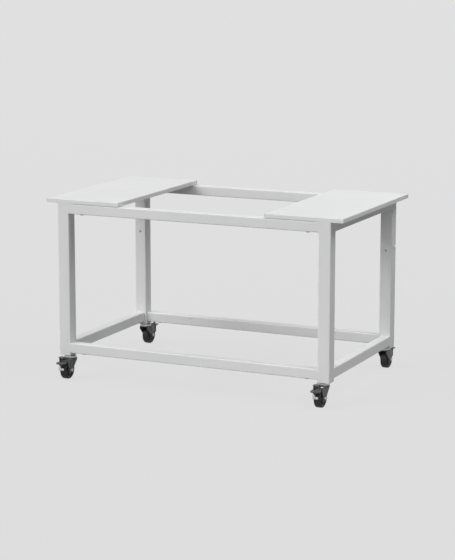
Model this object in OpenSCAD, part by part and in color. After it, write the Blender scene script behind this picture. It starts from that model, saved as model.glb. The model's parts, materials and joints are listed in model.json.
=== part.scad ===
// Mobile work stand: a knock-down tube frame with two sheet steel top panels on four braked swivel casters.
// X runs along the width, Y towards the rear and Z up. The origin is on the floor, under the middle.

/* [Frame] */
// Width of the frame over the legs
frame_w = 1170; // [900:5:1500]
// Depth of the frame over the legs
frame_d = 712; // [600:2:900]
// Length of the leg tubes
leg_len = 617; // [500:1:800]
// Outer side of the square leg tube
leg_side = 50; // [48:1:60]
// Wall of the leg tube
leg_wall = 2; // [1.5:0.5:3]
// Outer corner radius of the leg tube
leg_corner = 4; // [3:0.5:6]
// Height of the lower rails' undersides above the legs' feet
rail_lift = 11; // [0:1:60]
// Outer side of the square rail tube
rail_side = 40; // [36:1:46]
// Wall of the rail tube
rail_wall = 2; // [1.5:0.5:3]
// Outer corner radius of the rail tube
rail_corner = 3.5; // [3:0.5:5]

/* [Rail joints] */
// Length of the stub that each rail slides over
stub_len = 95; // [70:1:140]
// Wall of the stub tube
stub_wall = 2; // [1.5:0.5:3]
// Clearance on each side between a stub and its rail
stub_fit = 0.25; // [0.1:0.05:0.5]
// Distance from a leg to the bolt that locks its rail
rail_bolt_inset = 51; // [35:1:60]
// Thread diameter of the rail bolts
rail_bolt_d = 8; // [6:1:10]
// Length of a rail bolt under its head
rail_bolt_len = 18; // [16:1:25]
// Width across the flats of a rail bolt or its nut
rail_bolt_af = 13; // [12:1:17]
// Height of a rail bolt's head
rail_bolt_head = 5.3; // [4:0.1:6]
// Height of the nut welded in a stub
rail_nut_h = 6.5; // [5:0.5:8]
// Width of the line that marks a stub's end on a lower side rail
seam_w = 1.2; // [0.5:0.1:2]
// Depth of that line
seam_t = 0.6; // [0.2:0.1:1]

/* [Leg ends] */
// Thickness of the plate on a leg's top
cap_t = 1.5; // [1:0.5:3]
// Reach of that plate past the leg, over the rails
cap_reach = 21; // [18:1:30]
// Thickness of the plate inside a leg's foot
foot_t = 4; // [3:0.5:6]
// Width across the flats of the nut on that plate
foot_nut_af = 19; // [18:1:22]
// Height of the nut on that plate
foot_nut_h = 10; // [8:1:14]

/* [Top panels] */
// Width of a top panel
panel_w = 323; // [250:1:420]
// Overhang of a panel past the side of the frame
panel_side_over = 50; // [20:1:80]
// Overhang of a panel past the front and the rear of the frame
panel_end_over = 0.5; // [0:0.5:10]
// Height of a panel over its folded lip
panel_lip = 16; // [14:1:25]
// Thickness of a panel's sheet
panel_sheet = 1.5; // [1:0.5:2.5]
// Radius of a panel's folds and corners
panel_fold = 2; // [1:0.5:4]
// Width of the hem folded in under the lip
panel_hem = 12; // [8:1:18]
// Width of a stiffening channel
channel_w = 30; // [22:1:40]
// Gap between a channel's end and the hem
channel_gap = 0.5; // [0.3:0.1:2]
// Distance from a leg's inner faces to its panel screw
panel_screw_inset = 13; // [11:1:15]
// Height of the nut welded on a channel
panel_nut_h = 5; // [4:0.5:6]
// Length of a panel screw under its head
panel_screw_len = 11; // [10:1:12]

/* [Small screws] */
// Thread diameter of the small screws
screw_d = 6; // [5:0.5:6]
// Diameter of a small screw's round head
screw_head_d = 10.5; // [9:0.5:12]
// Height of a small screw's round head
screw_head_h = 3.3; // [2.5:0.1:4]
// Width across the flats of the nuts on the channels
screw_nut_af = 10; // [9:1:12]
// Across the flats of the socket in a small screw's head
socket_af = 4; // [3:0.5:5]
// Depth of that socket
socket_t = 1.8; // [1:0.1:2]

/* [Accessory points] */
// Height of the inserts in the rear legs' front faces above the legs' feet
insert_h = 406; // [250:1:460]
// Height of the inserts in the rear legs' outer sides above the legs' feet
side_insert_h = 419; // [250:1:460]
// Diameter of an insert's body
insert_body_d = 9; // [8:0.5:11]
// Length of an insert's body
insert_len = 13; // [10:1:16]
// Diameter of an insert's flange
insert_flange_d = 12; // [11:0.5:14]
// Thickness of an insert's flange
insert_flange_t = 1; // [0.5:0.1:1.5]
// Distance from an outer insert to the head of its stud
stud_stand = 5; // [3:0.5:8]
// Diameter of a stud's shoulder, under its head
stud_d = 8; // [7:0.5:9]
// Length of thread on a stud
stud_thread_len = 12; // [8:1:16]
// Distance from the middle to each hole in a lower rail's inner face
rail_hole_x = 327.5; // [200:0.5:330]
// Distance from a lower rail's top down to those holes
rail_hole_drop = 9; // [7:0.5:20]
// Diameter of those holes
rail_hole_d = 6.5; // [5:0.5:8]

/* [Casters] */
// Height of a caster from the floor to the leg
caster_h = 94; // [94:1:110]
// Distance from a leg's axis inwards to its caster's axis
caster_inset = 10; // [0:1:12]
// Distance from the swivel axis back to the axle
trail = 28; // [24:1:32]
// Diameter of the wheel
wheel_d = 75; // [68:1:77]
// Width of the tyre
wheel_w = 28; // [22:1:30]
// Thickness of the tyre
tyre_t = 7.5; // [5:0.5:10]
// Radius of the tyre's shoulders
tyre_round = 6; // [2:0.5:8]
// Width of the wheel's hub
hub_w = 30; // [24:1:31]
// Clear width between the fork's cheeks
fork_gap = 32; // [31.5:0.5:36]
// Thickness of the fork's sheet
fork_t = 2.5; // [2:0.5:3.5]
// Radius of the fork's crown and of the race above it
crown_r = 24; // [22:1:27]
// Radius of a fork cheek around the axle
cheek_r = 11; // [9:0.5:14]
// Diameter of the axle bolt
axle_d = 8; // [6:0.5:9]
// Width across the flats of the axle bolt and its nut
axle_af = 13; // [12:1:15]
// Outer diameter of a wheel bearing
bearing_d = 22; // [19:1:24]
// Width of a wheel bearing
bearing_w = 7; // [5:1:8]
// Diameter of the caster's stem and swivel pin
stem_d = 12; // [10:1:12]
// Length of stem above the leg's lower end
stem_len = 20; // [16:1:26]
// Width across the flats of the stem's collar
collar_af = 22; // [19:1:24]
// Height of the stem's collar, between the leg and the race
collar_h = 3; // [2.5:0.5:3]
// Diameter of the swivel balls
ball_d = 5; // [4:0.5:5]
// Number of swivel balls in a caster
ball_n = 14; // [8:1:15]
// Radius of the ring of balls
ball_ring = 16.5; // [15.5:0.5:17]

/* [Brake] */
// Distance from the tread to the pedal's pin
pin_gap = 7.25; // [7:0.25:10]
// Lean of the pedal's pin behind the axle, in degrees
pin_lean = 30; // [30:0.5:34]
// Diameter of the pedal's pin
pin_d = 6; // [5:0.5:6]
// Thickness of the pedal's sheet
pedal_t = 2; // [1.5:0.5:2.5]
// Width of the pedal's foot plate
pedal_w = 36; // [32:1:42]
// Reach of the foot plate past the pin
pedal_reach = 39; // [34:1:46]
// Width of the release tongue
tongue_w = 22; // [16:1:26]
// Reach of the release tongue past the pin
tongue_reach = 32; // [26:1:38]
// Rise of the release tongue above the pin
tongue_rise = 18.5; // [14:0.5:20]
// Gap between the brake plate and the tread when the pedal is up
brake_gap = 6; // [6:0.5:8]
// Thickness of the brake plate
brake_t = 2; // [1.5:0.5:2.5]
// Width of the brake plate
brake_w = 22; // [18:1:24]

/* [Hidden] */
$fn = 48;

// Radial play of a running fit or a screw in its thread
play = 0.05;
// Radial play of a bolt in a drilled hole
hole_play = 0.25;
// How far a cut runs past the face that it opens
cut = 1;

// Left is -1 and right is 1; front is -1 and rear is 1
SIDES = [-1, 1];

// Heights of the frame
foot_z = caster_h;
leg_top_z = foot_z + leg_len;
panel_z = leg_top_z + cap_t;
rail_top_z = leg_top_z - rail_side / 2;
rail_bottom_z = foot_z + rail_lift + rail_side / 2;
insert_z = foot_z + insert_h;
side_insert_z = foot_z + side_insert_h;

// Places of the legs and rails, from the middle of the stand
leg_x = (frame_w - leg_side) / 2;
leg_y = (frame_d - leg_side) / 2;
leg_in_x = frame_w / 2 - leg_side;
leg_in_y = frame_d / 2 - leg_side;
rail_x = (frame_w - rail_side) / 2;
rail_y = (frame_d - rail_side) / 2;
// How far a rail's ends run on beside the legs' round corners
cope = 0.8 * leg_corner;

// Stub tube inside a rail
stub_side = rail_side - 2 * rail_wall - 2 * stub_fit;
stub_corner = max(rail_corner - rail_wall - stub_fit, 0.6);

// Panel
panel_d = frame_d + 2 * panel_end_over;
panel_x = frame_w / 2 + panel_side_over - panel_w / 2;
panel_screw_x = leg_in_x - panel_screw_inset;
panel_screw_y = leg_in_y - panel_screw_inset;
channel_len = panel_w - 2 * panel_hem - 2 * channel_gap;
channel_h = panel_lip - panel_sheet;

// Caster heights, from the floor up
caster_x = leg_x - caster_inset;
caster_y = leg_y;
wheel_r = wheel_d / 2;
tyre_in_r = wheel_r - tyre_t;
race_z = foot_z - collar_h;
race_t = 2.5;
ball_z = race_z - race_t - ball_d / 2;
groove_r = ball_d / 2 + 2 * play;
race_lip = 1.25;
race_floor_z = race_z - race_t - race_lip;
track_z = ball_z - 1.25;
crown_z = track_z - 2.75;
crown_t = 2.5;
crown_under_z = crown_z - crown_t;
pin_head_t = 3;
pin_head_over = 3;
rim_t = 1.5;
rim_gap = 0.5;
rim_bottom_z = crown_z + 1.2;

// Fork cheeks and the brake's pin, as distances behind the swivel axis and heights
cheek_x = fork_gap / 2;
fork_w = fork_gap + 2 * fork_t;
lead_r = 7;
lead_y = -15;
roof_y = crown_r + 2;
pin_y = trail + (wheel_r + pin_gap) * sin(pin_lean);
pin_z = wheel_r + (wheel_r + pin_gap) * cos(pin_lean);
ear_r = crown_z - pin_z;

// Spacers beside the wheel, with play at both of their faces
spacer_x = (hub_w + fork_gap) / 4;
spacer_t = (fork_gap - hub_w) / 2 - 2 * play;

// Pedal: a foot plate with a lip on two edges, and a tongue above it on two posts and one side wall
pedal_fit = 0.5;
rocker_w = fork_gap - 2 * pedal_fit;
rocker_r = 5.5;
foot_plate_z = pin_z - 2.75;
foot_plate_y = pin_y + ear_r + 4;
foot_round = 6;
foot_lip = 4;
tongue_z = pin_z + tongue_rise;
tongue_round = 4;
web_y = pin_y + ear_r + 1.5;
web_low = 8;
post_w = 3;
bill_y = pin_y + tongue_reach - 8;
bill_lean = 4;

// Brake plate, and the arm of the pedal that it is fixed to
brake_y = trail + wheel_r + brake_gap;
brake_x = -brake_w / 2 - 2;
brake_bottom_z = wheel_r + 3.5;
brake_bar = 9;
brake_rise = 12;
rise_w = 10;
arm_w = 12;
arm_bottom_z = brake_bottom_z + brake_bar + 3;
gusset_bottom_z = brake_bottom_z + brake_bar + brake_rise + pedal_fit;
gusset_y = pin_y + pedal_reach - foot_round;

// A rectangle with round corners, centred
module round_rect(w, d, r) {
    square([w - 2 * r, d], center = true);
    square([w, d - 2 * r], center = true);
    for (x = SIDES, y = SIDES) {
        translate([x * (w / 2 - r), y * (d / 2 - r)]) circle(r);
    }
}

// The section of a square tube
module tube_section(side, wall, corner) {
    difference() {
        round_rect(side, side, corner);
        round_rect(side - 2 * wall, side - 2 * wall, max(corner - wall, 0.5));
    }
}

// Two circles joined by their outer tangents
module taper(p, r, q, s) {
    a = atan2(q[1] - p[1], q[0] - p[0]);
    b = acos((r - s) / norm(q - p));
    translate(p) circle(r);
    translate(q) circle(s);
    polygon([
        p + r * [cos(a + b), sin(a + b)],
        q + s * [cos(a + b), sin(a + b)],
        q + s * [cos(a - b), sin(a - b)],
        p + r * [cos(a - b), sin(a - b)]
    ]);
}

// A hexagon by its width across the flats
module hexagon(af) {
    circle(r = af / 2 / cos(30), $fn = 6);
}

// A shape drawn as distance behind the swivel axis and height, given a thickness along the axle
module upright(x, t) {
    translate([x + t, 0, 0]) rotate([90, 0, -90]) linear_extrude(t) children();
}

// A cylinder along the axle from one x to another
module rod(x0, x1, r) {
    translate([x0, 0, 0]) rotate([0, 90, 0]) cylinder(h = x1 - x0, r = r);
}

// The frame's corner that a piece belongs to
module at_corner(sx, sy) {
    mirror([sx < 0 ? 1 : 0, 0, 0]) mirror([0, sy < 0 ? 1 : 0, 0]) children();
}

module all_corners() {
    for (sx = SIDES, sy = SIDES) {
        at_corner(sx, sy) children();
    }
}

module rear_corners() {
    for (sx = SIDES) {
        at_corner(sx, 1) children();
    }
}

// A round-headed screw with its head's seat at the origin and its shank along +Z
module round_screw(d, length) {
    difference() {
        union() {
            cylinder(h = length, r = d / 2);
            translate([0, 0, -screw_head_h / 2]) cylinder(h = screw_head_h / 2, r = screw_head_d / 2);
            translate([0, 0, -screw_head_h]) {
                cylinder(h = screw_head_h / 2, r1 = (screw_head_d - screw_head_h) / 2, r2 = screw_head_d / 2);
            }
        }
        translate([0, 0, -screw_head_h - cut]) linear_extrude(socket_t + cut) hexagon(socket_af);
    }
}

// One leg tube with its foot plate and the nut welded on that plate. The rear legs have holes for inserts.
module leg(sx, sy) {
    color("gainsboro")
    at_corner(sx, sy)
    difference() {
        union() {
            translate([leg_x, leg_y, foot_z]) {
                linear_extrude(leg_len) tube_section(leg_side, leg_wall, leg_corner);
                linear_extrude(foot_t) square(leg_side - leg_wall, center = true);
            }
            translate([caster_x, caster_y, foot_z]) {
                linear_extrude(foot_t + foot_nut_h) hexagon(foot_nut_af);
            }
        }
        translate([caster_x, caster_y, foot_z - cut]) {
            cylinder(h = foot_t + foot_nut_h + 2 * cut, r = stem_d / 2 + play);
        }
        if (sy > 0) {
            translate([leg_x, leg_y, insert_z]) {
                rotate([90, 0, 0]) cylinder(h = leg_side, r = insert_body_d / 2 + play);
            }
            translate([leg_x, leg_y, side_insert_z]) {
                rotate([0, 90, 0]) cylinder(h = leg_side, r = insert_body_d / 2 + play);
            }
        }
    }
}

// Plates on the leg tops, which carry the panels and lap over the rails
module leg_cap_plates() {
    reach = leg_side + cap_reach;
    color("gainsboro")
    all_corners()
    difference() {
        translate([frame_w / 2 - reach / 2, frame_d / 2 - reach / 2, leg_top_z]) {
            linear_extrude(cap_t) round_rect(reach, reach, leg_corner);
        }
        translate([panel_screw_x, panel_screw_y, leg_top_z - cut]) {
            cylinder(h = cap_t + 2 * cut, r = screw_d / 2 + hole_play);
        }
    }
}

// The outsides of the legs at a rail's height, which its ends are shaped to
module leg_outsides(z) {
    for (sx = SIDES, sy = SIDES) {
        translate([sx * leg_x, sy * leg_y, z - rail_side]) {
            linear_extrude(2 * rail_side) round_rect(leg_side, leg_side, leg_corner);
        }
    }
}

// A tube along X between two legs, centred, with its bolt holes in its lower wall
module rail_tube(length) {
    difference() {
        translate([-length / 2 - cope, 0, 0]) {
            rotate([90, 0, 90]) {
                linear_extrude(length + 2 * cope) tube_section(rail_side, rail_wall, rail_corner);
            }
        }
        for (s = SIDES) {
            translate([s * (length / 2 - rail_bolt_inset), 0, -rail_side / 2 - cut]) {
                cylinder(h = rail_wall + 2 * cut, r = rail_bolt_d / 2 + hole_play);
            }
        }
    }
}

// A front or rear rail; the lower ones have two small holes in their inner faces
module long_rail(sy, z, holes) {
    color("gainsboro")
    difference() {
        translate([0, sy * rail_y, z]) rail_tube(2 * leg_in_x);
        leg_outsides(z);
        if (holes) {
            for (s = SIDES) {
                translate([s * rail_hole_x, sy * rail_y, z + rail_side / 2 - rail_hole_drop]) {
                    rotate([sy * 90, 0, 0]) cylinder(h = rail_side, r = rail_hole_d / 2);
                }
            }
        }
    }
}

// A side rail; the lower ones have a line across their inner faces where the stubs end
module side_rail(sx, z, seams) {
    color("gainsboro")
    difference() {
        translate([sx * rail_x, 0, z]) rotate([0, 0, 90]) rail_tube(2 * leg_in_y);
        leg_outsides(z);
        if (seams) {
            for (s = SIDES) {
                translate([sx * (rail_x - rail_side / 2), s * (leg_in_y - stub_len), z]) {
                    cube([2 * seam_t, seam_w, rail_side + 2 * cut], center = true);
                }
            }
        }
    }
}

// A stub along +X from its weld, centred on its own section, with its bolt hole
module stub() {
    difference() {
        rotate([90, 0, 90]) linear_extrude(stub_len) tube_section(stub_side, stub_wall, stub_corner);
        translate([rail_bolt_inset, 0, -stub_side / 2 - cut]) {
            cylinder(h = stub_wall + 2 * cut, r = rail_bolt_d / 2 + hole_play);
        }
    }
}

// Puts a piece of a rail's joint at each end of every rail, with X along the rail from its leg
module at_rail_ends() {
    all_corners() {
        for (z = [rail_bottom_z, rail_top_z]) {
            translate([leg_in_x, rail_y, z]) rotate([0, 0, 180]) children();
            translate([rail_x, leg_in_y, z]) rotate([0, 0, -90]) children();
        }
    }
}

module rail_stubs() {
    color("silver") at_rail_ends() stub();
}

// Hexagon bolts from below, through rail and stub
module rail_bolts() {
    color("silver")
    at_rail_ends()
    translate([rail_bolt_inset, 0, -rail_side / 2]) {
        cylinder(h = rail_bolt_len, r = rail_bolt_d / 2);
        translate([0, 0, -rail_bolt_head]) linear_extrude(rail_bolt_head) hexagon(rail_bolt_af);
    }
}

module rail_weld_nuts() {
    color("silver")
    at_rail_ends()
    translate([rail_bolt_inset, 0, -stub_side / 2 + stub_wall]) {
        difference() {
            linear_extrude(rail_nut_h) hexagon(rail_bolt_af);
            translate([0, 0, -cut]) cylinder(h = rail_nut_h + 2 * cut, r = rail_bolt_d / 2 + play);
        }
    }
}

// Threaded inserts in the rear legs: one in each outer side, one in each front face
module threaded_inserts() {
    color("silver") rear_corners() {
        translate([frame_w / 2, leg_y, side_insert_z]) rotate([0, 90, 0]) insert();
        translate([leg_x, leg_in_y, insert_z]) rotate([90, 0, 0]) insert();
    }
}

// An insert with its flange's seat at the origin and its flange towards +Z
module insert() {
    difference() {
        union() {
            cylinder(h = insert_flange_t, r = insert_flange_d / 2);
            translate([0, 0, -insert_len]) cylinder(h = insert_len, r = insert_body_d / 2);
        }
        translate([0, 0, -insert_len - cut]) {
            cylinder(h = insert_len + insert_flange_t + 2 * cut, r = screw_d / 2 + play);
        }
    }
}

// Round-headed studs in the outer sides, which stand out so that something can hook on them
module side_studs() {
    color("silver")
    rear_corners()
    translate([frame_w / 2 + insert_flange_t + stud_stand, leg_y, side_insert_z]) {
        rotate([0, -90, 0]) {
            round_screw(screw_d, stud_stand + stud_thread_len);
            cylinder(h = stud_stand, r = stud_d / 2);
        }
    }
}

// The outside of a panel: a slab with round corners and round upper edges, its underside at Z 0
module soft_slab(w, d, h, r) {
    linear_extrude(h - r) round_rect(w, d, r);
    translate([-w / 2 + r, -d / 2 + r, 0]) cube([w - 2 * r, d - 2 * r, h]);
    for (s = SIDES) {
        translate([-w / 2 + r, s * (d / 2 - r), h - r]) {
            rotate([0, 90, 0]) cylinder(h = w - 2 * r, r = r);
        }
        translate([s * (w / 2 - r), -d / 2 + r, h - r]) {
            rotate([-90, 0, 0]) cylinder(h = d - 2 * r, r = r);
        }
        for (t = SIDES) {
            translate([s * (w / 2 - r), t * (d / 2 - r), h - r]) sphere(r);
        }
    }
}

// A panel folded from one sheet: a top, four lips and a hem turned in under them
module panel(sx) {
    color("whitesmoke")
    translate([sx * panel_x, 0, panel_z])
    difference() {
        soft_slab(panel_w, panel_d, panel_lip, panel_fold);
        translate([0, 0, panel_sheet]) {
            linear_extrude(panel_lip - 2 * panel_sheet) {
                square([panel_w - 2 * panel_sheet, panel_d - 2 * panel_sheet], center = true);
            }
        }
        translate([0, 0, -cut]) {
            linear_extrude(panel_sheet + 2 * cut) {
                square([panel_w - 2 * panel_hem, panel_d - 2 * panel_hem], center = true);
            }
        }
    }
}

// Channels that stiffen the panels and stand on the cap plates, two under each panel
module panel_channels() {
    color("whitesmoke")
    all_corners()
    difference() {
        translate([panel_x, panel_screw_y, panel_z]) {
            difference() {
                translate([-channel_len / 2, -channel_w / 2, 0]) cube([channel_len, channel_w, channel_h]);
                translate([-channel_len / 2 - cut, -channel_w / 2 + panel_sheet, panel_sheet]) {
                    cube([channel_len + 2 * cut, channel_w - 2 * panel_sheet, channel_h]);
                }
            }
        }
        translate([panel_screw_x, panel_screw_y, panel_z - cut]) {
            cylinder(h = panel_sheet + 2 * cut, r = screw_d / 2 + hole_play);
        }
    }
}

module panel_screws() {
    color("silver")
    all_corners()
    translate([panel_screw_x, panel_screw_y, leg_top_z]) round_screw(screw_d, panel_screw_len);
}

module panel_weld_nuts() {
    color("silver")
    all_corners()
    translate([panel_screw_x, panel_screw_y, panel_z + panel_sheet]) {
        difference() {
            linear_extrude(panel_nut_h) hexagon(screw_nut_af);
            translate([0, 0, -cut]) cylinder(h = panel_nut_h + 2 * cut, r = screw_d / 2 + play);
        }
    }
}

// The place of a caster; its wheel trails away from the middle of the stand
module at_caster(sx, sy) {
    translate([sx * caster_x, sy * caster_y, 0]) rotate([0, 0, sy < 0 ? 0 : 180]) children();
}

// Threaded stem, hexagon collar and the swivel pin with its lower head, in one piece
module stem() {
    head_top = crown_under_z - 4 * play;
    color("silver") {
        translate([0, 0, head_top]) cylinder(h = foot_z + stem_len - head_top, r = stem_d / 2);
        translate([0, 0, race_z]) linear_extrude(collar_h) hexagon(collar_af);
        translate([0, 0, head_top - pin_head_t]) cylinder(h = pin_head_t, r = stem_d / 2 + pin_head_over);
    }
}

// Upper race with its dust rim
module race() {
    color("dimgray")
    difference() {
        union() {
            translate([0, 0, race_z - race_t]) cylinder(h = race_t, r = crown_r);
            translate([0, 0, race_floor_z]) {
                cylinder(h = race_lip + race_t / 2, r = ball_ring + ball_d / 2 + 1);
            }
            difference() {
                translate([0, 0, rim_bottom_z]) cylinder(h = race_z - race_t / 2 - rim_bottom_z, r = crown_r);
                translate([0, 0, rim_bottom_z - cut]) {
                    cylinder(h = race_z - race_t - rim_bottom_z + cut, r = crown_r - rim_t);
                }
            }
        }
        translate([0, 0, rim_bottom_z]) cylinder(h = caster_h, r = stem_d / 2 + play);
        ball_track();
    }
}

// A ring of balls in each caster, between the upper race and the fork
module swivel_balls() {
    color("silver")
    for (sx = SIDES, sy = SIDES) {
        at_caster(sx, sy)
        for (i = [0 : ball_n - 1]) {
            rotate([0, 0, i * 360 / ball_n]) translate([ball_ring, 0, ball_z]) sphere(ball_d / 2);
        }
    }
}

// The ring that the balls run in, cut from both races
module ball_track() {
    translate([0, 0, ball_z]) rotate_extrude() translate([ball_ring, 0]) circle(groove_r);
}

// One cheek of the fork, drawn behind the swivel axis: a wide top that tapers to the axle
module cheek_outline() {
    axle = [trail, wheel_r];
    lead = [lead_y, crown_z - lead_r];
    ear = [pin_y, pin_z];
    polygon([axle, lead, ear]);
    taper(axle, cheek_r, lead, lead_r);
    taper(axle, cheek_r, ear, ear_r);
    taper(lead, lead_r, ear, ear_r);
}

// Pressed fork: crown with the lower race, roof and two cheeks
module fork() {
    color("dimgray")
    difference() {
        union() {
            translate([0, 0, crown_under_z]) cylinder(h = crown_t, r = crown_r);
            translate([0, 0, crown_z]) {
                cylinder(h = track_z - crown_z, r = crown_r - rim_t - rim_gap);
            }
            translate([-fork_w / 2, -roof_y, crown_under_z]) cube([fork_w, roof_y - lead_y, crown_t]);
            for (x = [-cheek_x - fork_t, cheek_x]) {
                upright(x, fork_t) cheek_outline();
            }
        }
        translate([0, 0, crown_under_z - cut]) {
            cylinder(h = track_z - crown_under_z + 2 * cut, r = stem_d / 2 + play);
        }
        ball_track();
        translate([0, -trail, wheel_r]) rod(-fork_w, fork_w, axle_d / 2 + 2 * play);
        translate([0, -pin_y, pin_z]) rod(-fork_w, fork_w, pin_d / 2 + play);
    }
}

// Axle bolt, its nut, the spacers beside the wheel and the pedal's riveted pin
module pins() {
    end = fork_w / 2;
    nut_h = 6.5;
    head_h = 5.3;
    bolt_over = 2;
    spacer_wall = 2.5;
    rivet_h = 1;
    color("silver") {
        translate([0, -trail, wheel_r]) {
            rod(-end, end + nut_h + bolt_over, axle_d / 2);
            translate([-end - head_h, 0, 0]) rotate([0, 90, 0]) linear_extrude(head_h) hexagon(axle_af);
            difference() {
                translate([end, 0, 0]) rotate([0, 90, 0]) linear_extrude(nut_h) hexagon(axle_af);
                rod(end - cut, end + nut_h + cut, axle_d / 2 + play);
            }
            for (s = SIDES) {
                difference() {
                    rod(s * spacer_x - spacer_t / 2, s * spacer_x + spacer_t / 2, axle_d / 2 + spacer_wall);
                    rod(-end, end, axle_d / 2 + play);
                }
            }
        }
        translate([0, -pin_y, pin_z]) {
            rod(-end, end, pin_d / 2);
            for (s = SIDES) {
                translate([s * (end + rivet_h), 0, 0]) rod(-rivet_h, rivet_h, pin_d / 2 + 2 * rivet_h);
            }
        }
    }
}

// Solid tyre with round shoulders
module tyre() {
    color("black")
    translate([0, -trail, wheel_r])
    rotate([0, 90, 0])
    rotate_extrude() {
        difference() {
            translate([wheel_r / 2, 0]) tyre_band();
            translate([0, -wheel_w]) square([tyre_in_r, 2 * wheel_w]);
        }
    }
}

// Half of the tyre's section, from the axle out to the tread
module tyre_band() {
    translate([-tyre_round / 2, 0]) square([wheel_r - tyre_round, wheel_w], center = true);
    square([wheel_r, wheel_w - 2 * tyre_round], center = true);
    for (s = SIDES) {
        translate([wheel_r / 2 - tyre_round, s * (wheel_w / 2 - tyre_round)]) circle(tyre_round);
    }
}

// Moulded hub: rim, web and the boss that holds the bearings
module hub() {
    rim_w = wheel_w - 4;
    web_w = 7;
    rim_h = 3;
    color("dimgray")
    translate([0, -trail, wheel_r])
    rotate([0, 90, 0])
    rotate_extrude() {
        translate([tyre_in_r - rim_h, -rim_w / 2]) square([rim_h, rim_w]);
        translate([bearing_d / 2, -web_w / 2]) square([tyre_in_r - rim_h / 2 - bearing_d / 2, web_w]);
        translate([bearing_d / 2 + play, -hub_w / 2]) square([3.5, hub_w]);
        translate([axle_d / 2 + 1.5, -hub_w / 2 + bearing_w]) {
            square([bearing_d / 2 - axle_d / 2, hub_w - 2 * bearing_w]);
        }
    }
}

// Two ball bearings, each with a shallow recess for its shield
module bearings() {
    color("silver")
    translate([0, -trail, wheel_r])
    for (s = SIDES) {
        translate([s * (hub_w - bearing_w) / 2, 0, 0])
        rotate([0, 90, 0])
        rotate_extrude() {
            difference() {
                translate([axle_d / 2 + play, -bearing_w / 2]) {
                    square([(bearing_d - axle_d) / 2 - play, bearing_w]);
                }
                for (t = SIDES) {
                    translate([axle_d / 2 + 2.2, t * bearing_w / 2 - 0.5]) {
                        square([(bearing_d - axle_d) / 2 - 4, 1]);
                    }
                }
            }
        }
    }
}

// Rocking pedal: two cheeks on the pin, a foot plate, a tongue to release it, and the brake's arm and gusset
module pedal() {
    foot_l = pin_y + pedal_reach - foot_plate_y;
    color("dimgray")
    difference() {
        union() {
            for (x = [-rocker_w / 2, rocker_w / 2 - pedal_t]) {
                upright(x, pedal_t) taper([pin_y, pin_z], rocker_r, [web_y - 1, foot_plate_z + 3], 3);
            }
            upright(-tongue_w / 2, pedal_t) {
                polygon([
                    [web_y, foot_plate_z], [bill_y - bill_lean, foot_plate_z],
                    [bill_y, tongue_z + pedal_t], [web_y, tongue_z + pedal_t]
                ]);
            }
            upright(-rocker_w / 2, rocker_w) {
                translate([pin_y + 2, foot_plate_z]) square([foot_plate_y - pin_y, pedal_t]);
                translate([web_y, foot_plate_z]) square([pedal_t, web_low]);
            }
            for (x = [-tongue_w / 2, tongue_w / 2 - post_w]) {
                upright(x, post_w) {
                    translate([web_y, foot_plate_z]) square([pedal_t, tongue_z + pedal_t - foot_plate_z]);
                }
            }
            translate([0, -(foot_plate_y + pin_y + pedal_reach) / 2, foot_plate_z]) {
                linear_extrude(pedal_t) round_rect(pedal_w, foot_l, foot_round);
            }
            translate([0, -(foot_plate_y + pin_y + pedal_reach) / 2, foot_plate_z - foot_lip]) {
                linear_extrude(foot_lip + pedal_t / 2) difference() {
                    round_rect(pedal_w, foot_l, foot_round);
                    translate([-pedal_t, pedal_t]) round_rect(pedal_w, foot_l, foot_round);
                }
            }
            translate([0, -(web_y + pin_y + tongue_reach) / 2, tongue_z]) {
                linear_extrude(pedal_t) round_rect(tongue_w, pin_y + tongue_reach - web_y, tongue_round);
            }
            upright(brake_x, arm_w) {
                translate([brake_y - pedal_t, arm_bottom_z]) {
                    square([pedal_t, foot_plate_z + pedal_t / 2 - arm_bottom_z]);
                }
            }
            upright(brake_x, pedal_t) {
                polygon([
                    [brake_y - pedal_t, gusset_bottom_z], [brake_y, gusset_bottom_z],
                    [gusset_y, foot_plate_z], [gusset_y, foot_plate_z + pedal_t / 2],
                    [brake_y - pedal_t, foot_plate_z + pedal_t / 2]
                ]);
            }
        }
        translate([0, -pin_y, pin_z]) rod(-fork_w, fork_w, pin_d / 2 + play);
    }
}

// Zinc plate behind the tread, fixed to the pedal's arm: a bar with a rise at one end
module brake_plate() {
    bar_top = brake_bottom_z + brake_bar;
    color("silver")
    translate([brake_x, -brake_y, 0]) rotate([90, 0, 0]) linear_extrude(brake_t) {
        polygon([
            [0, brake_bottom_z], [brake_w, brake_bottom_z], [brake_w, bar_top], [rise_w, bar_top],
            [rise_w / 3, bar_top + brake_rise], [0, bar_top + brake_rise]
        ]);
    }
}

// Frame
leg(-1, -1);  // leg_front_left
leg(1, -1);  // leg_front_right
leg(-1, 1);  // leg_rear_left
leg(1, 1);  // leg_rear_right
long_rail(-1, rail_top_z, false);  // rail_top_front
long_rail(1, rail_top_z, false);  // rail_top_rear
side_rail(-1, rail_top_z, false);  // rail_top_left
side_rail(1, rail_top_z, false);  // rail_top_right
long_rail(-1, rail_bottom_z, true);  // rail_bottom_front
long_rail(1, rail_bottom_z, true);  // rail_bottom_rear
side_rail(-1, rail_bottom_z, true);  // rail_bottom_left
side_rail(1, rail_bottom_z, true);  // rail_bottom_right
rail_stubs();
leg_cap_plates();
panel(-1);  // panel_left
panel(1);  // panel_right
panel_channels();
panel_screws();
panel_weld_nuts();
rail_bolts();
rail_weld_nuts();
side_studs();
threaded_inserts();
swivel_balls();

// Casters, each named by the corner that it stands under
for (sy = SIDES, sx = SIDES) {
    corner = str(sy < 0 ? "front" : "rear", sx < 0 ? "_left" : "_right");
    at_caster(sx, sy) stem();
    at_caster(sx, sy) race();
    at_caster(sx, sy) fork();
    at_caster(sx, sy) pins();
    at_caster(sx, sy) tyre();
    at_caster(sx, sy) hub();
    at_caster(sx, sy) bearings();
    at_caster(sx, sy) pedal();
    at_caster(sx, sy) brake_plate();
}
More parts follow.
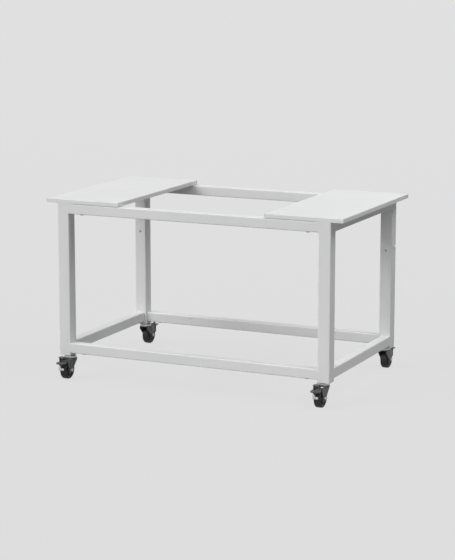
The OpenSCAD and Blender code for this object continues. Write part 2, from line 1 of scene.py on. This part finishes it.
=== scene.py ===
# Mobile work stand: a white powder coated tube frame on four braked casters, with two sheet steel
# top panels. The tubes and panels are the CAD model's own, dressed with finishes. The small metal,
# rubber and plastic pieces are modelled here.

import json
import math

import bmesh
import bpy
from mathutils import Matrix, Vector


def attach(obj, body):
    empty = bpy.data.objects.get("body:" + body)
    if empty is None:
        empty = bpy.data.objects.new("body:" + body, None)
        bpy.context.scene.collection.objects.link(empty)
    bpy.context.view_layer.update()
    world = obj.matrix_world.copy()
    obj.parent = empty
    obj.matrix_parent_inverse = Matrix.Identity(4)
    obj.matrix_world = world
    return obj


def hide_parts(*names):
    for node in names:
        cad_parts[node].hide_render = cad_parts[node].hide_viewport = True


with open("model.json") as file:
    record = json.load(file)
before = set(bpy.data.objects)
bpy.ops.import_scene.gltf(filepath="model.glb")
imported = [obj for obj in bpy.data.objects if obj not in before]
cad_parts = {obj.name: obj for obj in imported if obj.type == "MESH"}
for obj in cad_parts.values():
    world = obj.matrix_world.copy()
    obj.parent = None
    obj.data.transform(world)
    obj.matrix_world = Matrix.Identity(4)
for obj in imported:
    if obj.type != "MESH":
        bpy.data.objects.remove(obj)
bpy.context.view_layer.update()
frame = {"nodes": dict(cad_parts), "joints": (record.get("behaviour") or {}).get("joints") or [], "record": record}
cad = frame["nodes"]
MM = 0.001

# Where the frame's fasteners sit, in mm. The stand mirrors, so one corner stands for all four.
rail_undersides = (105, 671)
long_rail_bolt_at = (484, 336)
short_rail_bolt_at = (565, 255)
panel_screw_at = (522, 293, 711)
side_stud_at = (591, 331, 513)

# Each caster's swivel on the floor, by its corner. A rear caster is a front one turned half round.
swivels = {joint["name"].removeprefix("swivel_"): Vector((*joint["pos_m"][:2], 0))
           for joint in frame["joints"] if joint["name"].startswith("swivel_")}

# Sizes of a caster, in its own frame: the swivel is at the origin and the wheel trails towards -Y.
tread_r_mm = 37.5
axle = Vector((0, -28 * MM, tread_r_mm * MM))
fork_half = 18.5 * MM
pedal_pin = Vector((0, -50.375 * MM, 76.255 * MM))


# Finishes

class Wire:
    """A socket in a finish, so that its maths can be written as Python."""

    def __init__(self, finish, socket):
        self.finish = finish
        self.socket = socket

    def maths(self, operation, first, second):
        return self.finish.add("ShaderNodeMath", {"operation": operation}, {0: first, 1: second})

    def __add__(self, other):
        return self.maths("ADD", self, other)

    def __sub__(self, other):
        return self.maths("SUBTRACT", self, other)

    def __rsub__(self, other):
        return self.maths("SUBTRACT", other, self)

    def __mul__(self, other):
        return self.maths("MULTIPLY", self, other)

    __radd__ = __add__
    __rmul__ = __mul__


class Tree:
    """The nodes of a finish or of the surroundings."""

    def __init__(self, tree):
        self.tree = tree

    def add(self, kind, settings=None, sockets=None, out=0):
        """A new node: its settings or its ramp's stops first, then its sockets' values or links."""
        node = self.tree.nodes.new(kind)
        for key, value in (settings or {}).items():
            if key == "stops":
                for stop, (at, shade) in zip(node.color_ramp.elements, value):
                    stop.position = at
                    stop.color = (shade, shade, shade, 1)
            else:
                setattr(node, key, value)
        for key, value in (sockets or {}).items():
            self.join(value, node.inputs[key])
        return Wire(self, node.outputs[out])

    def join(self, value, socket):
        if isinstance(value, Wire):
            self.tree.links.new(value.socket, socket)
        else:
            socket.default_value = value

    def seen(self):
        """1 where the camera, a gloss or a clear piece sees it, and 0 where it lights the stand."""
        camera_ray, gloss_ray, clear_ray = [
            self.add("ShaderNodeLightPath", out=f"Is {kind} Ray")
            for kind in ("Camera", "Glossy", "Transmission")]
        return self.add("ShaderNodeMath", {"operation": "ADD", "use_clamp": True},
                        {0: camera_ray + gloss_ray, 1: clear_ray})


class Finish(Tree):
    """A material whose pattern follows the object's own coordinates, in metres."""

    def __init__(self, name, metallic=0.0):
        self.material = bpy.data.materials.new(name)
        self.material.use_nodes = True
        super().__init__(self.material.node_tree)
        self.shader = self.tree.nodes["Principled BSDF"]
        self.shader.inputs["Metallic"].default_value = metallic
        self.place = self.add("ShaderNodeTexCoord", out="Object")

    def noise(self, scale, detail=2.0, stretch=(1, 1, 1)):
        """Soft cloudy noise from 0 to 1: scale is per metre, and stretch squeezes it by axis."""
        place = self.add("ShaderNodeMapping", sockets={"Vector": self.place, "Scale": stretch})
        return self.add("ShaderNodeTexNoise",
                        sockets={"Vector": place, "Scale": scale, "Detail": detail})

    def between(self, value, low, high):
        """Value spread so that low becomes 0 and high becomes 1."""
        return self.add("ShaderNodeValToRGB", {"stops": [(low, 0.0), (high, 1.0)]}, {"Fac": value})

    def mix(self, share, first, second):
        """A colour from first to second."""
        return self.add("ShaderNodeMix", {"data_type": "RGBA"},
                        {0: share, 6: rgba(first), 7: rgba(second)}, out=2)

    def grain(self, height, strength, distance):
        """Fine relief on the surface."""
        self.set("Normal", self.add("ShaderNodeBump", sockets={
            "Height": height, "Strength": strength, "Distance": distance}))

    def set(self, socket, value):
        self.join(value, self.shader.inputs[socket])


def rgba(shade):
    """A colour for a socket: a link as it is, or three numbers with full alpha."""
    return shade if isinstance(shade, Wire) else (*shade, 1)


def white_powder_coat():
    """Satin white powder coat: fine orange peel, faint clouds, a little dust and rubbing marks."""
    coat = Finish("white_powder_coat")
    cloud = coat.between(coat.noise(2.6, 3.0), 0.35, 0.65)
    speck = coat.between(coat.noise(520.0, 1.0), 0.70, 0.78)
    rubbed = coat.between(coat.noise(9.0, 4.0, (1.0, 14.0, 14.0)), 0.62, 0.80)
    shade = coat.mix(cloud, (0.765, 0.770, 0.775), (0.800, 0.800, 0.800))
    shade = coat.mix(speck * 0.35, shade, (0.60, 0.60, 0.595))
    shade = coat.mix(rubbed * 0.30, shade, (0.70, 0.70, 0.70))
    coat.set("Base Color", shade)
    coat.set("Roughness", coat.noise(14.0, 2.0) * 0.12 + 0.36 + rubbed * 0.10)
    coat.grain(coat.noise(620.0, 2.0), 0.35, 0.00012)
    return coat.material


def zinc_plate(name, dull, bright):
    """Plating on small steel pieces: cloudy, slightly blue, with a drawn grain."""
    zinc = Finish(name, metallic=1.0)
    cloud = zinc.between(zinc.noise(160.0, 3.0), 0.35, 0.68)
    drawn = zinc.noise(700.0, 2.0, (1.0, 1.0, 0.12))
    zinc.set("Base Color", zinc.mix(cloud, dull, bright))
    zinc.set("Roughness", cloud * 0.10 + 0.34 + drawn * 0.12)
    zinc.grain(drawn, 0.25, 0.00004)
    return zinc.material


def plain_steel():
    """Bare ground steel of balls, bearings and the stubs in the rails: grey, with a film of oil."""
    steel = Finish("plain_ground_steel", metallic=1.0)
    film = steel.between(steel.noise(60.0, 3.0), 0.3, 0.7)
    steel.set("Base Color", steel.mix(film, (0.46, 0.46, 0.47), (0.60, 0.59, 0.57)))
    steel.set("Roughness", film * 0.14 + 0.30)
    steel.grain(steel.noise(1400.0, 1.0), 0.2, 0.00003)
    return steel.material


def dark_caster_paint():
    """Satin charcoal paint on forks and pedals, thinner in places, with dust in its grain."""
    paint = Finish("charcoal_caster_paint")
    cloud = paint.between(paint.noise(70.0, 3.0), 0.35, 0.65)
    dust = paint.between(paint.noise(380.0, 3.0), 0.58, 0.75)
    shade = paint.mix(cloud, (0.085, 0.086, 0.089), (0.130, 0.131, 0.134))
    paint.set("Base Color", paint.mix(dust * 0.35, shade, (0.24, 0.24, 0.235)))
    paint.set("Roughness", cloud * 0.10 + 0.34 + dust * 0.12)
    paint.set("Specular IOR Level", 0.25)
    paint.grain(paint.noise(900.0, 2.0), 0.4, 0.00008)
    return paint.material


def grey_black_rubber():
    """Solid rubber of the tyres: dull, with dust pressed into the tread."""
    rubber = Finish("grey_black_rubber")
    cloud = rubber.between(rubber.noise(90.0, 4.0), 0.35, 0.65)
    dust = rubber.between(rubber.noise(260.0, 4.0), 0.55, 0.74)
    shade = rubber.mix(cloud, (0.010, 0.010, 0.0105), (0.019, 0.019, 0.020))
    rubber.set("Base Color", rubber.mix(dust * 0.40, shade, (0.070, 0.068, 0.064)))
    rubber.set("Roughness", dust * 0.14 + 0.50 + cloud * 0.08)
    rubber.set("Specular IOR Level", 0.30)
    rubber.grain(rubber.noise(1100.0, 3.0), 0.5, 0.00010)
    return rubber.material


def dark_moulded_plastic():
    """Moulded plastic of the hubs: dark grey, with a light spark finish."""
    plastic = Finish("dark_moulded_plastic")
    cloud = plastic.noise(55.0, 2.0)
    plastic.set("Base Color", plastic.mix(cloud, (0.070, 0.070, 0.074), (0.105, 0.105, 0.109)))
    plastic.set("Roughness", cloud * 0.12 + 0.40)
    plastic.grain(plastic.noise(1600.0, 1.0), 0.3, 0.00005)
    return plastic.material


finishes = {
    "frame_coat": white_powder_coat(),
    "zinc": zinc_plate("cloudy_zinc_plate", (0.36, 0.365, 0.38), (0.50, 0.50, 0.495)),
    "plain_steel": plain_steel(),
    "caster_steel": dark_caster_paint(),
    "tyre": grey_black_rubber(),
    "hub": dark_moulded_plastic(),
}
bright_plate = zinc_plate("bright_zinc_plate", (0.70, 0.71, 0.73), (0.86, 0.86, 0.85))


# Handling pieces and their meshes

def clear():
    """Leaves nothing selected, as each primitive needs."""
    bpy.ops.object.select_all(action="DESELECT")


def take(piece):
    """Selects one piece alone, in object mode."""
    clear()
    piece.select_set(True)
    bpy.context.view_layer.objects.active = piece
    return piece


def added():
    """The piece that a primitive operator has just added."""
    return bpy.context.view_layer.objects.active


def settle(piece):
    """Puts a piece's place, turn and size in its mesh."""
    take(piece)
    bpy.ops.object.transform_apply(location=True, rotation=True, scale=True)
    return piece


def open_mesh(piece, kind="EDGE"):
    """Goes into edit mode with nothing selected."""
    take(piece)
    bpy.ops.object.mode_set(mode="EDIT")
    bpy.ops.mesh.select_mode(type=kind)
    bpy.ops.mesh.select_all(action="DESELECT")


def close_mesh():
    """Goes back to object mode."""
    bpy.ops.object.mode_set(mode="OBJECT")


def pick_faces(piece, test):
    """In edit mode, selects only the faces whose middle and normal pass the test."""
    bpy.ops.mesh.select_mode(type="FACE")
    bpy.ops.mesh.select_all(action="DESELECT")
    mesh = bmesh.from_edit_mesh(piece.data)
    for face in mesh.faces:
        face.select_set(test(face.calc_center_median(), face.normal))
    mesh.select_flush_mode()
    bmesh.update_edit_mesh(piece.data)


def pick_edges(piece, test):
    """In edit mode, selects only the edges whose middle passes the test."""
    bpy.ops.mesh.select_mode(type="EDGE")
    bpy.ops.mesh.select_all(action="DESELECT")
    mesh = bmesh.from_edit_mesh(piece.data)
    for edge in mesh.edges:
        edge.select_set(test((edge.verts[0].co + edge.verts[1].co) / 2))
    mesh.select_flush_mode()
    bmesh.update_edit_mesh(piece.data)


def modify(piece, kind, **settings):
    """Adds a modifier and applies it."""
    take(piece)
    modifier = piece.modifiers.new(kind.title(), kind)
    for key, value in settings.items():
        setattr(modifier, key, value)
    bpy.ops.object.modifier_apply(modifier=modifier.name)
    return piece


def soften(piece, width, segments=2, angle=30):
    """Rounds the edges at which faces turn by more than the angle, in degrees."""
    return modify(piece, "BEVEL", width=width, segments=segments, limit_method="ANGLE",
                  angle_limit=math.radians(angle))


def cut_with(piece, tool, operation="DIFFERENCE"):
    """Cuts a piece with a tool, or keeps only what they share, and takes the tool away."""
    modify(piece, "BOOLEAN", object=tool, operation=operation, solver="EXACT")
    bpy.data.objects.remove(tool)
    return piece


def join(pieces):
    """Makes one piece of several, each still a closed shell of its own."""
    take(pieces[0])
    for piece in pieces:
        piece.select_set(True)
    bpy.ops.object.join()
    return settle(added())


def smooth(piece, angle=35):
    """Shades a piece smooth, apart from edges at which it turns by more than the angle."""
    take(piece)
    bpy.ops.object.shade_smooth_by_angle(angle=math.radians(angle))
    return piece


def copy_at(piece, place):
    """A copy with its own mesh, moved by a matrix."""
    twin = piece.copy()
    twin.data = piece.data.copy()
    bpy.context.scene.collection.objects.link(twin)
    twin.data.transform(place)
    return twin


def all_at(master, places):
    """Copies of a master at each place, joined into one piece. The master goes."""
    piece = join([copy_at(master, place) for place in places])
    bpy.data.objects.remove(master)
    return piece


def seat(piece, name, body, slot, node, finish=None):
    """Names a finished piece, gives it its finish and sets it on its body for a CAD node."""
    settle(piece)
    piece.name = piece.data.name = name
    piece.data.materials.clear()
    piece.data.materials.append(finish or finishes[slot])
    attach(piece, body)
    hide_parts(node)


def from_cad(node, width, segments=2, back=None):
    """A copy of a CAD node with its sharp edges broken; back moves it into another frame."""
    clear()
    piece = cad[node].copy()
    piece.data = cad[node].data.copy()
    for key in list(piece.keys()):
        del piece[key]
    piece.parent = None
    bpy.context.scene.collection.objects.link(piece)
    if back:
        piece.data.transform(back)
    open_mesh(piece)
    bpy.ops.mesh.select_all(action="SELECT")
    bpy.ops.mesh.remove_doubles(threshold=0.000002)
    bpy.ops.mesh.dissolve_limited(angle_limit=math.radians(0.4))
    close_mesh()
    if piece.data.has_custom_normals:
        bpy.ops.mesh.customdata_custom_splitnormals_clear()
    return smooth(soften(piece, width, segments, angle=40))


def caster_node(kind, width, segments=2):
    """The front right caster's node of one kind, in the caster's own frame, with broken edges."""
    home = Matrix.Translation(-swivels["front_right"])
    return from_cad(f"{kind}_front_right", width, segments, back=home)


# Forms that start from a primitive

def cylinder(radius, depth, middle, sides=48):
    """An upright cylinder to start from."""
    clear()
    bpy.ops.mesh.primitive_cylinder_add(
        vertices=sides, radius=radius, depth=depth, location=middle)
    return added()


def cross_rod(radius, middle):
    """A rod along X, from cheek to cheek of the fork, with softened ends."""
    clear()
    bpy.ops.mesh.primitive_cylinder_add(
        vertices=40, radius=radius, depth=2 * fork_half, location=middle,
        rotation=(0, math.pi / 2, 0))
    return soften(added(), 0.2 * MM)


def block(size, middle):
    """A block to start from."""
    clear()
    bpy.ops.mesh.primitive_cube_add(size=1, location=middle)
    piece = added()
    piece.scale = size
    return settle(piece)


def lathe(steps, points, centre, closed=False):
    """Turns a profile of (x, radius) steps round the line through the centre along X.

    A closed profile's last ring joins its first, and an open one gets a flat face at each end.
    """
    clear()
    x, radius = steps[0]
    bpy.ops.mesh.primitive_circle_add(
        vertices=points, radius=radius, location=centre + Vector((x, 0, 0)),
        rotation=(0, math.pi / 2, 0))
    piece = settle(added())
    open_mesh(piece)
    bpy.ops.mesh.select_all(action="SELECT")
    for next_x, next_radius in steps[1:]:
        bpy.ops.mesh.extrude_region_move(TRANSFORM_OT_translate={"value": (next_x - x, 0, 0)})
        grow = next_radius / radius
        bpy.ops.transform.resize(value=(1, grow, grow), center_override=centre)
        x, radius = next_x, next_radius
    bpy.ops.mesh.select_all(action="DESELECT")
    bpy.ops.mesh.select_non_manifold(extend=False)
    if closed:
        bpy.ops.mesh.bridge_edge_loops()
    else:
        bpy.ops.mesh.edge_face_add()
    bpy.ops.mesh.select_all(action="SELECT")
    bpy.ops.mesh.normals_make_consistent(inside=False)
    close_mesh()
    return smooth(piece, 28)


def hexagon_block(across, height, base=True, top=True):
    """A hexagon bolt head or nut on the floor of its own frame, with chamfered base and top."""
    corner = across / 2 / math.cos(math.pi / 6)
    end_radius = across * 0.475
    drop = (corner - end_radius) * math.tan(math.pi / 6)
    whole = cylinder(corner, height, (0, 0, height / 2), sides=6)
    # A round tool, a hair wider than the corners, is drawn in at each chamfered end.
    tool = settle(cylinder(corner * 1.002, height - 2 * drop, (0, 0, height / 2)))
    open_mesh(tool, "FACE")
    for end, chamfered in ((1, top), (-1, base)):
        pick_faces(tool, lambda middle, normal: normal.z * end > 0.9)
        bpy.ops.mesh.extrude_region_move(TRANSFORM_OT_translate={"value": (0, 0, end * drop)})
        if chamfered:
            shrink = end_radius / corner
            bpy.ops.transform.resize(value=(shrink, shrink, 1))
    close_mesh()
    return smooth(cut_with(settle(whole), tool, "INTERSECT"), 20)


def washer(inner, outer, height):
    """A flat washer on the floor of its own frame, with soft rims."""
    ring = settle(cylinder(outer, height, (0, 0, height / 2)))
    cut_with(ring, cylinder(inner, height * 3, (0, 0, height / 2)))
    return soften(ring, height * 0.25, angle=50)


def threaded_rod(radius, pitch, length):
    """The end of a screw: V grooves one pitch apart and a chamfered tip, along +Z from 0."""
    root = radius * 0.86
    steps = [(0, root)]
    at = pitch * 0.2
    while at + pitch < length:
        steps += [(at, root), (at + pitch * 0.35, radius), (at + pitch * 0.5, radius)]
        at += pitch * 0.85
    steps += [(length - pitch * 0.4, radius * 0.98), (length, radius * 0.80)]
    rod = lathe(steps, 32, Vector((0, 0, 0)))
    rod.rotation_euler = (0, -math.pi / 2, 0)
    return settle(rod)


def button_head():
    """A small screw's domed head along -Z, its seat at the origin, with a hexagon socket."""
    diameter, height, socket, deep = 10.5 * MM, 3.3 * MM, 4 * MM, 1.8 * MM
    head = settle(cylinder(diameter / 2, height, (0, 0, -height / 2)))
    open_mesh(head)
    pick_edges(head, lambda middle: middle.z < -height * 0.9)
    bpy.ops.mesh.bevel(offset=height * 0.86, segments=8, profile=0.55, affect="EDGES")
    close_mesh()
    corner = socket / 2 / math.cos(math.pi / 6)
    cut_with(head, cylinder(corner, deep * 2, (0, 0, -height), sides=6))
    return smooth(soften(head, 0.12 * MM, segments=1, angle=60), 30)


def side_shape(outline, x, thickness):
    """A flat plate beside the wheel from its outline, as (y, z) points in mm behind the swivel."""
    clear()
    bpy.ops.mesh.primitive_circle_add(vertices=len(outline), radius=1, fill_type="NGON")
    plate = added()
    for point, (y, z) in zip(plate.data.vertices, outline):
        point.co = (x, -y * MM, z * MM)
    open_mesh(plate, "FACE")
    bpy.ops.mesh.select_all(action="SELECT")
    bpy.ops.mesh.extrude_region_move(TRANSFORM_OT_translate={"value": (thickness, 0, 0)})
    bpy.ops.mesh.select_all(action="SELECT")
    bpy.ops.mesh.normals_make_consistent(inside=False)
    close_mesh()
    return plate


def rounded_strip(start, end, radius_start, radius_end, steps=10):
    """Outline of two circles and their tangents."""
    (y0, z0), (y1, z1) = start, end
    heading = math.atan2(z1 - z0, y1 - y0)
    spread = math.acos((radius_start - radius_end) / math.hypot(y1 - y0, z1 - z0))
    outline = []
    for i in range(steps + 1):
        a = heading - spread + 2 * spread * i / steps
        outline.append((y1 + radius_end * math.cos(a), z1 + radius_end * math.sin(a)))
    for i in range(steps + 1):
        a = heading + spread + (2 * math.pi - 2 * spread) * i / steps
        outline.append((y0 + radius_start * math.cos(a), z0 + radius_start * math.sin(a)))
    return outline


# Fasteners of the frame

def rail_bolt_places():
    """Seats of the bolts under the rails' ends, one pair of rails at a time."""
    return [Matrix.Translation((x * across * MM, y * deep * MM, z * MM))
            for z in rail_undersides for x in (-1, 1) for y in (-1, 1)
            for across, deep in (long_rail_bolt_at, short_rail_bolt_at)]


def rail_bolts():
    """Hexagon bolts with their washers, driven up into the rails from below."""
    ring_height = 1.0 * MM
    head_height = 4.3 * MM
    head = hexagon_block(13 * MM, head_height, base=True, top=False)
    head.data.transform(Matrix.Translation((0, 0, -(head_height + ring_height))))
    ring = washer(4.1 * MM, 7.9 * MM, ring_height)
    ring.data.transform(Matrix.Translation((0, 0, -ring_height)))
    shank = threaded_rod(4.0 * MM, 1.25 * MM, 18 * MM)
    bolts = all_at(join([head, ring, shank]), rail_bolt_places())
    seat(smooth(bolts, 30), "hexagon_rail_bolts", "frame", "zinc", "rail_bolts")


def panel_screws():
    """Button screws with hexagon sockets, driven up into the panels' channels."""
    across, deep, underside = panel_screw_at
    places = [Matrix.Translation((x * across * MM, y * deep * MM, underside * MM))
              for x in (-1, 1) for y in (-1, 1)]
    screws = all_at(join([button_head(), threaded_rod(3.0 * MM, 1.0 * MM, 11 * MM)]), places)
    seat(smooth(screws, 30), "panel_button_screws", "frame", "zinc", "panel_screws")


def side_studs():
    """Studs that stand out of the rear legs' sides: round head, plain shoulder and thread."""
    across, deep, height = side_stud_at
    places = [Matrix.Translation((x * across * MM, deep * MM, height * MM))
              @ Matrix.Rotation(-x * math.pi / 2, 4, "Y") for x in (-1, 1)]
    head = button_head()
    shoulder_length = 4.9 * MM
    shoulder = cylinder(4 * MM, shoulder_length, (0, 0, shoulder_length / 2))
    soften(shoulder, 0.4 * MM, segments=3)
    thread = threaded_rod(3.0 * MM, 1.0 * MM, 12 * MM)
    thread.data.transform(Matrix.Translation((0, 0, shoulder_length)))
    studs = all_at(join([head, shoulder, thread]), places)
    seat(smooth(studs, 30), "leg_side_studs", "frame", "zinc", "side_studs", bright_plate)


rail_bolts()
panel_screws()
side_studs()
seat(from_cad("threaded_inserts", 0.2 * MM), "flanged_inserts", "frame", "zinc", "threaded_inserts")


# Casters, modelled once in their own frame

def tyre():
    """Solid tyre: flat sides, round shoulders, a slightly crowned tread and a fine mould line."""
    shoulder_steps = 8
    steps = [(-13.4, 30.0), (-14.0, 30.5), (-14.0, 31.4)]
    for i in range(1, shoulder_steps + 1):
        a = math.radians(90 * i / shoulder_steps)
        steps.append((-8 - 6 * math.cos(a), 31.45 + 6 * math.sin(a)))
    left_side = list(steps)
    steps += [(-0.45, tread_r_mm), (-0.25, 37.35), (0.25, 37.35), (0.45, tread_r_mm)]
    steps += [(-x, r) for x, r in reversed(left_side)]
    return lathe([(x * MM, r * MM) for x, r in steps], 128, axle, closed=True)


def hub():
    """Moulded hub: lipped rim, recessed web, ribs on both sides and the bearings' boss."""
    half = [(12.0, 29.98), (12.0, 28.6), (11.4, 27.6), (4.4, 26.6), (3.6, 25.8),
            (3.6, 16.2), (4.6, 15.1), (14.4, 14.4), (15.0, 13.8), (15.0, 11.05)]
    steps = half + [(-x, r) for x, r in reversed(half)]
    body = lathe([(x * MM, r * MM) for x, r in steps], 96, axle, closed=True)
    ribs = []
    rib_count = 6
    for i in range(rib_count):
        rib = block((18 * MM, 2.4 * MM, 13.5 * MM), (0, 0, 21 * MM))
        open_mesh(rib, "FACE")
        pick_faces(rib, lambda middle, normal: normal.z > 0.9)
        bpy.ops.transform.resize(value=(1, 1.35, 1))
        close_mesh()
        soften(rib, 0.5 * MM)
        turn = Matrix.Rotation(math.radians(360 / rib_count * i), 4, "X")
        rib.data.transform(Matrix.Translation(axle) @ turn)
        ribs.append(rib)
    return smooth(join([body, *ribs]), 30)


def fork():
    """Pressed fork with broken edges, a stiffening rib and an axle boss on each cheek."""
    pieces = [caster_node("fork", 0.45 * MM)]
    rib_outline = rounded_strip((20, 68), (27, 52.5), 6.0, 3.0)
    for side in (-1, 1):
        outer = side * fork_half
        rib = side_shape(rib_outline, outer - side * 0.3 * MM, side * 0.9 * MM)
        pieces.append(soften(rib, 0.5 * MM, segments=3))
        boss = [(0, 9.2 * MM), (side * 0.35 * MM, 9.0 * MM), (side * 0.6 * MM, 8.4 * MM)]
        pieces.append(lathe(boss, 40, axle + Vector((outer - side * 0.1 * MM, 0, 0))))
    return smooth(join(pieces), 32)


def on_axle(piece, x, spin=0.0):
    """Turns a piece that stands along +Z outwards on the axle, x from the wheel's middle."""
    outwards = Matrix.Rotation(math.copysign(math.pi / 2, x), 4, "Y")
    place = Matrix.Translation(axle + Vector((x, 0, 0)))
    piece.data.transform(place @ outwards @ Matrix.Rotation(spin, 4, "Z"))
    return piece


def axle_bolt():
    """Axle bolt with its head, nut and thread end, and the spacers beside the wheel."""
    pieces = [
        cross_rod(4 * MM, axle),
        on_axle(hexagon_block(13 * MM, 5.3 * MM, base=False), -fork_half),
        on_axle(hexagon_block(13 * MM, 6.5 * MM), fork_half, spin=0.3),
        on_axle(threaded_rod(4 * MM, 1.25 * MM, 3.4 * MM), fork_half + 5.1 * MM),
    ]
    half, inner, outer = 0.45 * MM, 4.05 * MM, 6.4 * MM
    for side in (-1, 1):
        pieces.append(lathe([(-half, outer), (half, outer), (half, inner), (-half, inner)], 40,
                            axle + Vector((side * 15.5 * MM, 0, 0)), closed=True))
    return smooth(join(pieces), 28)


def riveted_pin():
    """The pedal's pin, with a domed rivet head on each cheek, painted over with the fork."""
    dome = [(0, 3.0), (0.02, 5.0), (0.7, 4.95), (1.3, 4.4), (1.75, 3.3), (1.98, 1.8), (2.0, 0.4)]
    pieces = [cross_rod(3 * MM, pedal_pin)]
    for side in (-1, 1):
        pieces.append(lathe([(x * side * MM, r * MM) for x, r in dome], 40,
                            pedal_pin + Vector((side * fork_half, 0, 0))))
    return smooth(join(pieces), 28)


def pedal():
    """Brake pedal with rounded rims and raised grip ribs across its foot plate."""
    pieces = [caster_node("pedal", 0.35 * MM)]
    for i in range(3):
        rib = block((24 * MM, 1.9 * MM, 0.9 * MM), (0, (-77 - 4.0 * i) * MM, 75.8 * MM))
        pieces.append(soften(rib, 0.42 * MM, segments=3))
    return smooth(join(pieces), 34)


def casters():
    """Models each caster piece once and seats a copy of it at every corner."""
    # Name: the master, its finish, the body that it rides on and the node that it stands for.
    # Races and stems stay with the frame.
    masters = {
        "fork": (fork(), "caster_steel", "fork", "fork"),
        "axle_bolt": (axle_bolt(), "zinc", "fork", "pins"),
        "pedal_pin": (riveted_pin(), "caster_steel", "fork", "pins"),
        "tyre_solid": (tyre(), "tyre", "wheel", "tyre"),
        "hub_ribbed": (hub(), "hub", "wheel", "hub"),
        "hub_bearings": (caster_node("bearings", 0.15 * MM), "plain_steel", "wheel", "bearings"),
        "brake_pedal": (pedal(), "caster_steel", "pedal", "pedal"),
        "brake_strip": (caster_node("brake_plate", 0.3 * MM), "zinc", "pedal", "brake_plate"),
        "swivel_race": (caster_node("race", 0.7 * MM, 3), "zinc", "frame", "race"),
        "threaded_stem": (caster_node("stem", 0.3 * MM), "zinc", "frame", "stem"),
    }
    for corner, place in swivels.items():
        turn = Matrix.Rotation(0 if place.y < 0 else math.pi, 4, "Z")
        for name, (master, slot, body, node) in masters.items():
            piece = copy_at(master, Matrix.Translation(place) @ turn)
            carrier = "frame" if body == "frame" else f"{body}_{corner}"
            seat(piece, f"{name}_{corner}", carrier, slot, f"{node}_{corner}")
    for master, *_ in masters.values():
        bpy.data.objects.remove(master)


casters()


# Finishes of the CAD nodes that show as they are

slots = {part["node"]: part["material_slot"] for part in frame["record"]["subparts"]}
for name, node in cad.items():
    node.data.materials.clear()
    node.data.materials.append(finishes[slots[name]])


# Floor, light and camera

def floor():
    """Plain pale studio floor that keeps the stand's shadow."""
    own_glow = 0.67
    clear()
    bpy.ops.mesh.primitive_circle_add(
        vertices=96, radius=60, fill_type="NGON", location=(0, 0, 0))
    ground = added()
    ground.name = "studio_floor"
    finish = Finish("pale_floor")
    finish.set("Base Color", (0.15, 0.15, 0.15, 1))
    finish.set("Roughness", 0.9)
    glow = finish.add("ShaderNodeEmission", sockets={"Color": (1, 1, 1, 1), "Strength": 1.0})
    lit = Wire(finish, finish.shader.outputs[0])
    both = finish.add("ShaderNodeMixShader",
                      sockets={0: finish.seen() * own_glow, 1: lit, 2: glow})
    finish.join(both, finish.tree.nodes["Material Output"].inputs["Surface"])
    ground.data.materials.append(finish.material)


def studio_world():
    """Surroundings, white to the camera and in a gloss, and only a faint fill on the stand."""
    world = bpy.data.worlds.new("studio")
    bpy.context.scene.world = world
    world.use_nodes = True
    studio = Tree(world.node_tree)
    fill, white = [
        studio.add("ShaderNodeBackground", sockets={"Color": (1, 1, 1, 1), "Strength": strength})
        for strength in (0.05, 0.92)]
    both = studio.add("ShaderNodeMixShader", sockets={0: studio.seen(), 1: fill, 2: white})
    studio.join(both, studio.tree.nodes["World Output"].inputs["Surface"])


def lamp(name, turn, height, strength):
    """A wide soft lamp, turned from the front to the right and raised, both in degrees."""
    softness = 40
    light = bpy.data.lights.new(name, "SUN")
    light.energy = strength
    light.angle = math.radians(softness)
    holder = bpy.data.objects.new(name, light)
    bpy.context.scene.collection.objects.link(holder)
    holder.rotation_euler = (math.radians(90 - height), 0, math.radians(turn))


def camera():
    """The photograph's own viewpoint: in front, to the right and a little above the top."""
    lens_mm, far_end = 125.02, 200
    looks_down, stands_right = 10.88, 24.92
    data = bpy.data.cameras.new("photo_camera")
    data.sensor_width = 36
    data.lens = lens_mm
    data.clip_end = far_end
    holder = bpy.data.objects.new("photo_camera", data)
    bpy.context.scene.collection.objects.link(holder)
    holder.location = (3.2488, -7.0037, 1.8692)
    holder.rotation_euler = (math.radians(90 - looks_down), 0, math.radians(stands_right))
    bpy.context.scene.camera = holder


floor()
studio_world()
lamp("key_front_left", -45, 42, 1.68)
lamp("key_low", -50, 22, 0.27)
lamp("fill_front", 0, 15, 0.82)
lamp("over_right_side", 90, 58, 1.38)
lamp("rear_fill", 180, 8, 0.3)
camera()
bpy.context.scene.view_settings.view_transform = "Standard"
